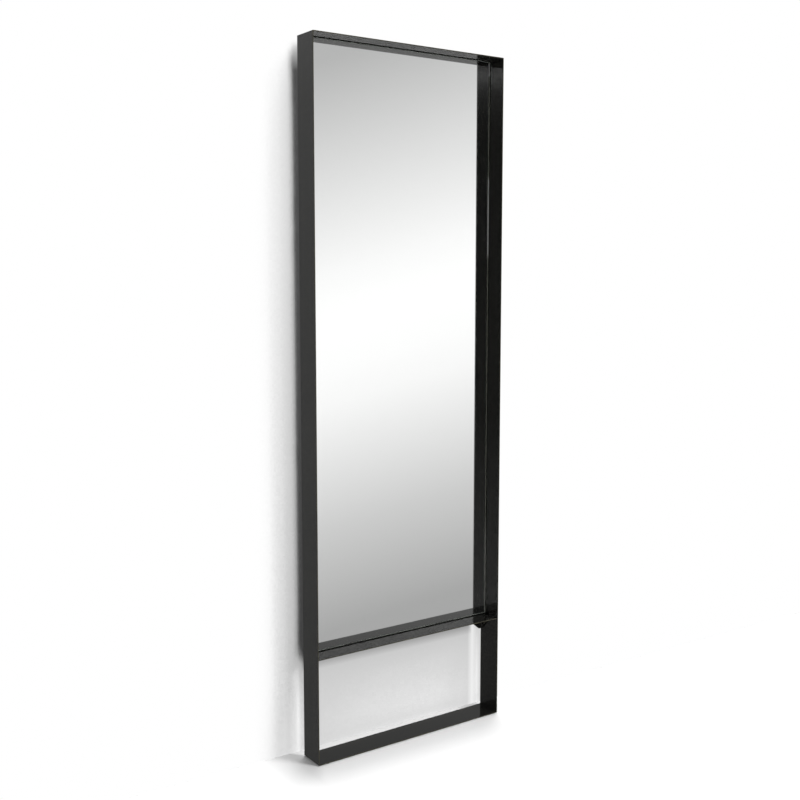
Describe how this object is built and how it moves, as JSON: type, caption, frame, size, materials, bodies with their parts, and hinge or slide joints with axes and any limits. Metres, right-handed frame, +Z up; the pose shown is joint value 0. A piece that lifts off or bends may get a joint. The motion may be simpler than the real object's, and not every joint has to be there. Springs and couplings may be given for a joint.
{
  "type": "full length mirror",
  "caption": "Tall mirror set back in a thin gloss black sheet steel box frame, with a shallow cross shelf under the glass and an open bay below it.",
  "frame": {"origin": "on the floor, under the middle of the bounding box", "axes": "+Z up along the height, +X along the width, -Y out of the mirror's face towards the viewer"},
  "size_m": [0.55, 0.074, 1.7015],
  "materials": {
    "frame_lacquer": "gloss black lacquer on sheet steel",
    "mirror_glass": "clear float glass in front of the silver",
    "mirror_back": "silver, grey backing paint and safety film",
    "tape": "white foam tape",
    "board": "raw brown fibreboard",
    "block_plastic": "matt black",
    "screw_zinc": "bright zinc plate",
    "bumper_rubber": "matt black rubber",
    "pad_felt": "pressed felt"
  },
  "bodies": {
    "root": {"left_side_plate": "frame_lacquer", "right_side_plate": "frame_lacquer", "top_plate": "frame_lacquer", "bottom_plate": "frame_lacquer", "cross_shelf": "frame_lacquer", "upper_left_wall_plate": "frame_lacquer", "upper_right_wall_plate": "frame_lacquer", "lower_left_wall_plate": "frame_lacquer", "lower_right_wall_plate": "frame_lacquer", "left_lower_tab": "frame_lacquer", "left_upper_tab": "frame_lacquer", "right_lower_tab": "frame_lacquer", "right_upper_tab": "frame_lacquer", "top_centre_tab": "frame_lacquer", "shelf_centre_tab": "frame_lacquer", "weld_beads": "frame_lacquer", "mirror_glass": "mirror_glass", "mirror_silvering": "mirror_back", "mirror_tape": "tape", "backing_board": "board", "setting_blocks": "block_plastic", "board_screws": "screw_zinc", "wall_bumpers": "bumper_rubber", "floor_pads": "pad_felt"}
  },
  "joints": []
}
